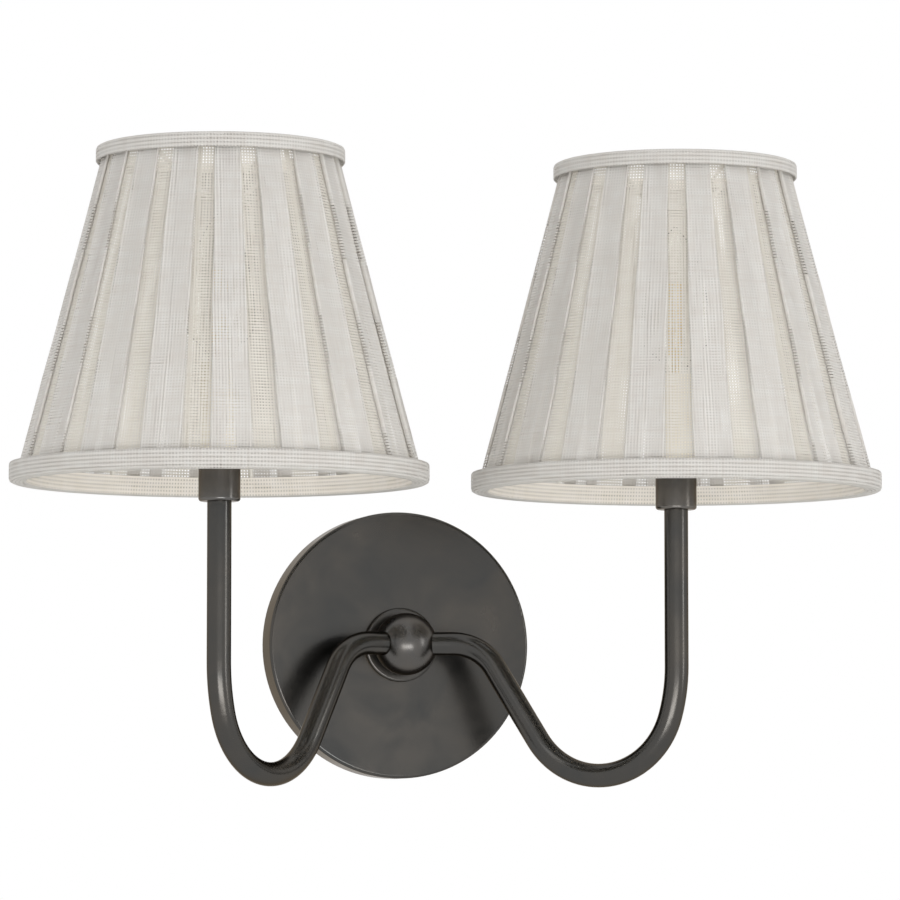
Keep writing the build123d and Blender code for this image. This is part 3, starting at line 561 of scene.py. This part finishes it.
def pleat_tree():
    """Geometry Nodes that copy a strip round a tapered shade and fold it."""
    tree = bpy.data.node_groups.new("box pleats", "GeometryNodeTree")
    sockets = (
        ("Strip", "Geometry"), ("Pleats", "Int"), ("Low height", "Float"), ("High height", "Float"),
        ("Low radius", "Float"), ("High radius", "Float"), ("Panel share", "Float"),
        ("Cloth per pleat", "Float"), ("Layer gap", "Float"), ("Wander", "Float"), ("Ripple", "Float"),
        ("First angle", "Float"), ("Seed", "Float"), ("Axis", "Vector"), ("Cloth", "Material"),
    )
    for name, kind in sockets:
        tree.interface.new_socket(name=name, in_out="INPUT", socket_type="NodeSocket" + kind)
    tree.interface.new_socket(name="Pleats", in_out="OUTPUT", socket_type="NodeSocketGeometry")
    given = add(tree, "NodeGroupInput").outputs

    points = add(tree, "GeometryNodePoints", {"Count": given["Pleats"]})
    copies = add(tree, "GeometryNodeInstanceOnPoints", {"Points": points.outputs[0],
                                                        "Instance": given["Strip"]})
    index = add(tree, "GeometryNodeInputIndex")
    numbered = add(tree, "GeometryNodeStoreNamedAttribute",
                   {"Geometry": copies.outputs[0], "Name": "pleat", "Value": index.outputs[0]},
                   data_type="FLOAT", domain="INSTANCE")
    strips = add(tree, "GeometryNodeRealizeInstances", {0: numbered.outputs[0]})

    pleat = add(tree, "GeometryNodeInputNamedAttribute", {"Name": "pleat"}, data_type="FLOAT")
    across = add(tree, "GeometryNodeInputNamedAttribute", {"Name": "across"}, data_type="FLOAT_VECTOR")
    along = add(tree, "GeometryNodeInputNamedAttribute", {"Name": "along"}, data_type="FLOAT_VECTOR")
    fold = add(tree, "GeometryNodeInputNamedAttribute", {"Name": "fold"}, data_type="FLOAT_VECTOR")
    shares = add(tree, "ShaderNodeSeparateXYZ", {0: across.outputs[0]})
    folded = add(tree, "ShaderNodeSeparateXYZ", {0: fold.outputs[0]})
    place = add(tree, "GeometryNodeInputPosition")
    share = add(tree, "ShaderNodeSeparateXYZ", {0: place.outputs[0]}).outputs["Z"]

    # Sizes at this height.
    radius = add(tree, "ShaderNodeMapRange", {"Value": share, "To Min": given["Low radius"],
                                              "To Max": given["High radius"]}).outputs[0]
    height = add(tree, "ShaderNodeMapRange", {"Value": share, "To Min": given["Low height"],
                                              "To Max": given["High height"]}).outputs[0]
    round_it = add(tree, "ShaderNodeMath", {0: radius, 1: 2 * math.pi}, operation="MULTIPLY")
    room = add(tree, "ShaderNodeMath", {0: round_it.outputs[0], 1: given["Pleats"]}, operation="DIVIDE")
    half_room = add(tree, "ShaderNodeMath", {0: room.outputs[0], 1: 0.5}, operation="MULTIPLY")
    half_panel = add(tree, "ShaderNodeMath", {0: half_room.outputs[0], 1: given["Panel share"]},
                     operation="MULTIPLY")
    half_gap = add(tree, "ShaderNodeMath", {0: half_room.outputs[0], 1: half_panel.outputs[0]},
                   operation="SUBTRACT")
    spare = add(tree, "ShaderNodeMath", {0: given["Cloth per pleat"], 1: room.outputs[0]},
                operation="SUBTRACT")
    under = add(tree, "ShaderNodeMath", {0: spare.outputs[0], 1: 1 / LAYERS_UNDER}, operation="MULTIPLY")
    lengths = add(tree, "ShaderNodeCombineXYZ", {0: half_panel.outputs[0], 1: under.outputs[0],
                                                 2: half_gap.outputs[0]})
    side_step = add(tree, "ShaderNodeVectorMath", {0: across.outputs[0], 1: lengths.outputs[0]},
                    operation="DOT_PRODUCT").outputs["Value"]
    cloth_step = add(tree, "ShaderNodeVectorMath", {0: along.outputs[0], 1: lengths.outputs[0]},
                     operation="DOT_PRODUCT").outputs["Value"]

    # How freely the cloth hangs here: 0 at both bands, 1 half way.
    down = add(tree, "ShaderNodeMath", {0: 1.0, 1: share}, operation="SUBTRACT")
    free = add(tree, "ShaderNodeMath", {0: down.outputs[0], 1: share}, operation="MULTIPLY")
    free = add(tree, "ShaderNodeMath", {0: free.outputs[0], 1: 4.0}, operation="MULTIPLY")

    # Edges wander a little, and the folds under the panels wander more.
    seeded = add(tree, "ShaderNodeMath", {0: share, 1: WANDER_DOWN, 2: given["Seed"]},
                 operation="MULTIPLY_ADD")
    pleat_spot = add(tree, "ShaderNodeMath", {0: pleat.outputs[0], 1: WANDER_ACROSS}, operation="MULTIPLY")
    spot = add(tree, "ShaderNodeCombineXYZ", {0: pleat_spot.outputs[0], 1: shares.outputs["X"],
                                              2: seeded.outputs[0]})
    edge_noise = add(tree, "ShaderNodeTexNoise", {"Vector": spot.outputs[0], "Scale": 1.0, "Detail": 1.0})
    fold_spot = add(tree, "ShaderNodeVectorMath", {0: spot.outputs[0], 1: FOLD_SHIFT}, operation="ADD")
    fold_noise = add(tree, "ShaderNodeTexNoise", {"Vector": fold_spot.outputs[0], "Scale": FOLD_SCALE,
                                                  "Detail": 1.0})
    edge = add(tree, "ShaderNodeMath", {0: edge_noise.outputs["Fac"], 1: NOISE_MIDDLE},
               operation="SUBTRACT")
    deep = add(tree, "ShaderNodeMath", {0: fold_noise.outputs["Fac"], 1: NOISE_MIDDLE},
               operation="SUBTRACT")
    in_gap = add(tree, "ShaderNodeMath", {0: shares.outputs["Z"]}, operation="ABSOLUTE")
    held = add(tree, "ShaderNodeMath", {0: 1.0, 1: in_gap.outputs[0]}, operation="SUBTRACT")
    edge = add(tree, "ShaderNodeMath", {0: edge.outputs[0], 1: held.outputs[0]}, operation="MULTIPLY")
    below = add(tree, "ShaderNodeMath", {0: shares.outputs["Y"]}, operation="ABSOLUTE")
    deep = add(tree, "ShaderNodeMath", {0: deep.outputs[0], 1: below.outputs[0]}, operation="MULTIPLY")
    moved = add(tree, "ShaderNodeMath", {0: deep.outputs[0], 1: UNDER_MORE, 2: edge.outputs[0]},
                operation="MULTIPLY_ADD")
    moved = add(tree, "ShaderNodeMath", {0: moved.outputs[0], 1: given["Wander"]}, operation="MULTIPLY")
    moved = add(tree, "ShaderNodeMath", {0: moved.outputs[0], 1: free.outputs[0]}, operation="MULTIPLY")
    side_step = add(tree, "ShaderNodeMath", {0: side_step, 1: moved.outputs[0]}, operation="ADD").outputs[0]
    side_step = add(tree, "ShaderNodeMath", {0: folded.outputs["Y"], 1: FOLD_ROUNDING, 2: side_step},
                    operation="MULTIPLY_ADD").outputs[0]

    # From the step along the rim to an angle.
    turn = add(tree, "ShaderNodeMath", {0: side_step, 1: radius}, operation="DIVIDE")
    one = add(tree, "ShaderNodeMath", {0: 2 * math.pi, 1: given["Pleats"]}, operation="DIVIDE")
    start = add(tree, "ShaderNodeMath", {0: pleat.outputs[0], 1: one.outputs[0], 2: given["First angle"]},
                operation="MULTIPLY_ADD")
    angle = add(tree, "ShaderNodeMath", {0: start.outputs[0], 1: turn.outputs[0]}, operation="ADD")
    cosine = add(tree, "ShaderNodeMath", {0: angle.outputs[0]}, operation="COSINE")
    sine = add(tree, "ShaderNodeMath", {0: angle.outputs[0]}, operation="SINE")

    # Layers lie one inside the other, and all ripple together so that none cuts through.
    tall = add(tree, "ShaderNodeMath", {0: share, 1: RIPPLE_DOWN, 2: given["Seed"]},
               operation="MULTIPLY_ADD")
    ripple_spot = add(tree, "ShaderNodeCombineXYZ", {0: cosine.outputs[0], 1: sine.outputs[0],
                                                     2: tall.outputs[0]})
    ripple = add(tree, "ShaderNodeTexNoise", {"Vector": ripple_spot.outputs[0], "Scale": RIPPLE_SCALE,
                                              "Detail": 1.0})
    ripple = add(tree, "ShaderNodeMath", {0: ripple.outputs["Fac"], 1: RIPPLE_INWARDS},
                 operation="SUBTRACT")
    ripple = add(tree, "ShaderNodeMath", {0: ripple.outputs[0], 1: given["Ripple"]}, operation="MULTIPLY")
    ripple = add(tree, "ShaderNodeMath", {0: ripple.outputs[0], 1: free.outputs[0]}, operation="MULTIPLY")
    sunk = add(tree, "ShaderNodeMath", {0: folded.outputs["X"], 1: given["Layer gap"]},
               operation="MULTIPLY")
    reach = add(tree, "ShaderNodeMath", {0: radius, 1: sunk.outputs[0]}, operation="SUBTRACT")
    reach = add(tree, "ShaderNodeMath", {0: reach.outputs[0], 1: ripple.outputs[0]}, operation="ADD")
    x = add(tree, "ShaderNodeMath", {0: reach.outputs[0], 1: cosine.outputs[0]}, operation="MULTIPLY")
    y = add(tree, "ShaderNodeMath", {0: reach.outputs[0], 1: sine.outputs[0]}, operation="MULTIPLY")
    bent = add(tree, "ShaderNodeCombineXYZ", {0: x.outputs[0], 1: y.outputs[0], 2: height})
    bent = add(tree, "ShaderNodeVectorMath", {0: bent.outputs[0], 1: given["Axis"]}, operation="ADD")

    # Texture map: metres along the cloth and up its slant.
    low_end = add(tree, "ShaderNodeCombineXYZ", {0: given["Low radius"], 1: given["Low height"]})
    high_end = add(tree, "ShaderNodeCombineXYZ", {0: given["High radius"], 1: given["High height"]})
    slant = add(tree, "ShaderNodeVectorMath", {0: low_end.outputs[0], 1: high_end.outputs[0]},
                operation="DISTANCE").outputs["Value"]
    run = add(tree, "ShaderNodeMath", {0: pleat.outputs[0], 1: given["Cloth per pleat"], 2: cloth_step},
              operation="MULTIPLY_ADD")
    rise = add(tree, "ShaderNodeMath", {0: share, 1: slant}, operation="MULTIPLY")
    flat_place = add(tree, "ShaderNodeCombineXYZ", {0: run.outputs[0], 1: rise.outputs[0]})
    mapped = add(tree, "GeometryNodeStoreNamedAttribute",
                 {"Geometry": strips.outputs[0], "Name": "UVMap", "Value": flat_place.outputs[0]},
                 data_type="FLOAT2", domain="CORNER")

    shaped = add(tree, "GeometryNodeSetPosition", {"Geometry": mapped.outputs[0],
                                                   "Position": bent.outputs[0]})
    joined = add(tree, "GeometryNodeMergeByDistance", {"Geometry": shaped.outputs[0],
                                                       "Distance": MERGE_WITHIN})
    smooth = add(tree, "GeometryNodeSetShadeSmooth", {"Geometry": joined.outputs[0]})
    real = add(tree, "GeometryNodeRealizeInstances", {0: smooth.outputs[0]})
    dressed = add(tree, "GeometryNodeSetMaterial", {"Geometry": real.outputs[0], "Material": given["Cloth"]})
    add(tree, "NodeGroupOutput", {0: dressed.outputs[0]})
    return tree


pleats_rule = pleat_tree()
print("pleat tree of", len(pleats_rule.nodes), "nodes")

# %% [markdown]
# A modifier runs the tree on an object. Its inputs are set by each socket's identifier, before
# the object is first evaluated. The result is read back as a plain mesh, and the modifier goes.

# %% Pleats on both shades
PLEATS = 18
PANEL_DEGREES = 11.5
PANEL_SHARE = PANEL_DEGREES / (360 / PLEATS)
FABRIC_LOW, FABRIC_HIGH = 0.06955, 0.22135
RADIUS_LOW, RADIUS_HIGH = 0.09225, 0.05245
FIRST_EDGE = {"left": -105.0, "right": -102.5}  # degrees, as in the CAD model
LAYER_GAP = 0.00045
WANDER, RIPPLE = 0.0022, 0.0008
SEED = {"left": 3.0, "right": 8.0}


def run_tree(name, tree, mesh, values):
    """A new plain object from a Geometry Nodes tree run on a mesh."""
    source = bpy.data.objects.new(name, mesh.copy())
    scene.collection.objects.link(source)
    modifier = source.modifiers.new("rule", "NODES")
    modifier.node_group = tree
    for item in tree.interface.items_tree:
        if item.in_out == "INPUT" and item.name in values:
            modifier[item.identifier] = values[item.name]
    bpy.context.view_layer.update()
    seen_by = bpy.context.evaluated_depsgraph_get()
    result = bpy.data.meshes.new_from_object(source.evaluated_get(seen_by), depsgraph=seen_by)
    source.modifiers.clear()
    source.data = result
    result.name = name
    return source


def lamp_axis(side):
    """The middle of a shade, from the CAD box of its bottom ring."""
    low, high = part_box(side + "_shade_bottom_ring")
    return ((low[0] + high[0]) / 2, (low[1] + high[1]) / 2, 0.0)


for side in SIDES:
    values = {
        "Pleats": PLEATS, "Low height": FABRIC_LOW, "High height": FABRIC_HIGH,
        "Low radius": RADIUS_LOW, "High radius": RADIUS_HIGH, "Panel share": PANEL_SHARE,
        "Cloth per pleat": CLOTH_PER_PLEAT, "Layer gap": LAYER_GAP, "Wander": WANDER, "Ripple": RIPPLE,
        "First angle": math.radians(FIRST_EDGE[side] + PANEL_DEGREES / 2), "Seed": SEED[side],
        "Axis": lamp_axis(side), "Cloth": pleat_cloth,
    }
    piece = run_tree(side + "_pleats", pleats_rule, strip.data, values)
    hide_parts(side + "_shade_pleats")
    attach(piece, side + "_shade")
    print(piece.name, len(piece.data.polygons), "faces")

# %% [markdown]
# ## Bands
# A strip of the same cloth is sewn over each rim. Its two long edges are turned in, so the
# face of a band is two layers thick, and it wraps the frame's ring and ends inside. The faces
# inside get a lighter, warmer copy of the cloth, painted light for the bright inside of the
# shade. Here each band is its section, turned about the lamp's axis, with a texture map in metres.

# %% Band sections
AROUND = 144
TOP_SECTION = (
    (55.9, 221.0), (55.9, 216.3), (56.2, 215.5), (56.6, 215.4), (56.9, 215.9), (56.9, 218.5),
    (56.88, 220.8), (56.5, 221.8), (55.6, 222.2), (52.0, 222.2), (49.4, 222.15), (48.5, 221.7),
    (48.3, 220.6), (48.4, 218.9), (48.9, 217.2),
)
BOTTOM_SECTION = (
    (94.5, 70.4), (94.5, 76.5), (94.7, 77.2), (95.1, 77.45), (95.45, 76.9), (95.5, 73.5),
    (95.48, 70.4), (95.1, 69.3), (94.0, 68.72), (91.0, 68.7), (88.6, 68.75), (87.7, 69.1),
    (87.45, 70.0), (87.3, 71.8), (86.7, 74.3), (85.9, 77.6),
)
# The section's faces from here on get the lighter copy of the cloth, painted light.
PAINTED_LIGHT_FROM = 11  # from this step of the section on, a band faces inwards
BANDS = (("top", TOP_SECTION), ("bottom", BOTTOM_SECTION))


def turned_band(name, side, section, rim_mm):
    """A section in millimetres (radius, height), turned about a lamp's axis."""
    axis = lamp_axis(side)
    lengths = [0.0]
    for before, after in zip(section, section[1:]):
        lengths.append(lengths[-1] + math.dist(before, after))
    mesh = bpy.data.meshes.new(name)
    points = []
    for radius, height in section:
        for step in range(AROUND):
            angle = 2 * math.pi * step / AROUND
            points.append((axis[0] + radius / 1000 * math.cos(angle),
                           axis[1] + radius / 1000 * math.sin(angle), height / 1000))
    faces, places = [], []
    for row in range(len(section) - 1):
        for step in range(AROUND):
            after = (step + 1) % AROUND
            faces.append((row * AROUND + step, (row + 1) * AROUND + step, (row + 1) * AROUND + after,
                          row * AROUND + after))
            left = rim_mm / 1000 * 2 * math.pi * step / AROUND
            right = rim_mm / 1000 * 2 * math.pi * (step + 1) / AROUND
            low, high = lengths[row] / 1000, lengths[row + 1] / 1000
            places += [(left, low), (left, high), (right, high), (right, low)]
    mesh.from_pydata(points, [], faces)
    layer = mesh.uv_layers.new(name="UVMap")
    for loop, place in zip(layer.data, places):
        loop.uv = place
    mesh.shade_smooth()
    mesh.materials.append(band_cloth)
    mesh.materials.append(painted_light_cloth)
    for face in mesh.polygons:
        face.material_index = 1 if face.index // AROUND >= PAINTED_LIGHT_FROM else 0
    band = bpy.data.objects.new(name, mesh)
    scene.collection.objects.link(band)
    return band, lengths[-1] / 1000


for side in SIDES:
    for end, section in BANDS:
        name = side + "_" + end + "_band"
        rim_mm = max(radius for radius, height in section)
        band, width = turned_band(name, side, section, rim_mm)
        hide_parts(side + "_shade_" + end + "_band")
        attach(band, side + "_shade")
        print(name, "cut", round(2 * math.pi * rim_mm), "by", round(width * 1000), "mm")

# %% [markdown]
# The strip that the pleats were copied from isn't part of the sconce, so it is removed.

# %% Removing the strip
bpy.data.objects.remove(strip)
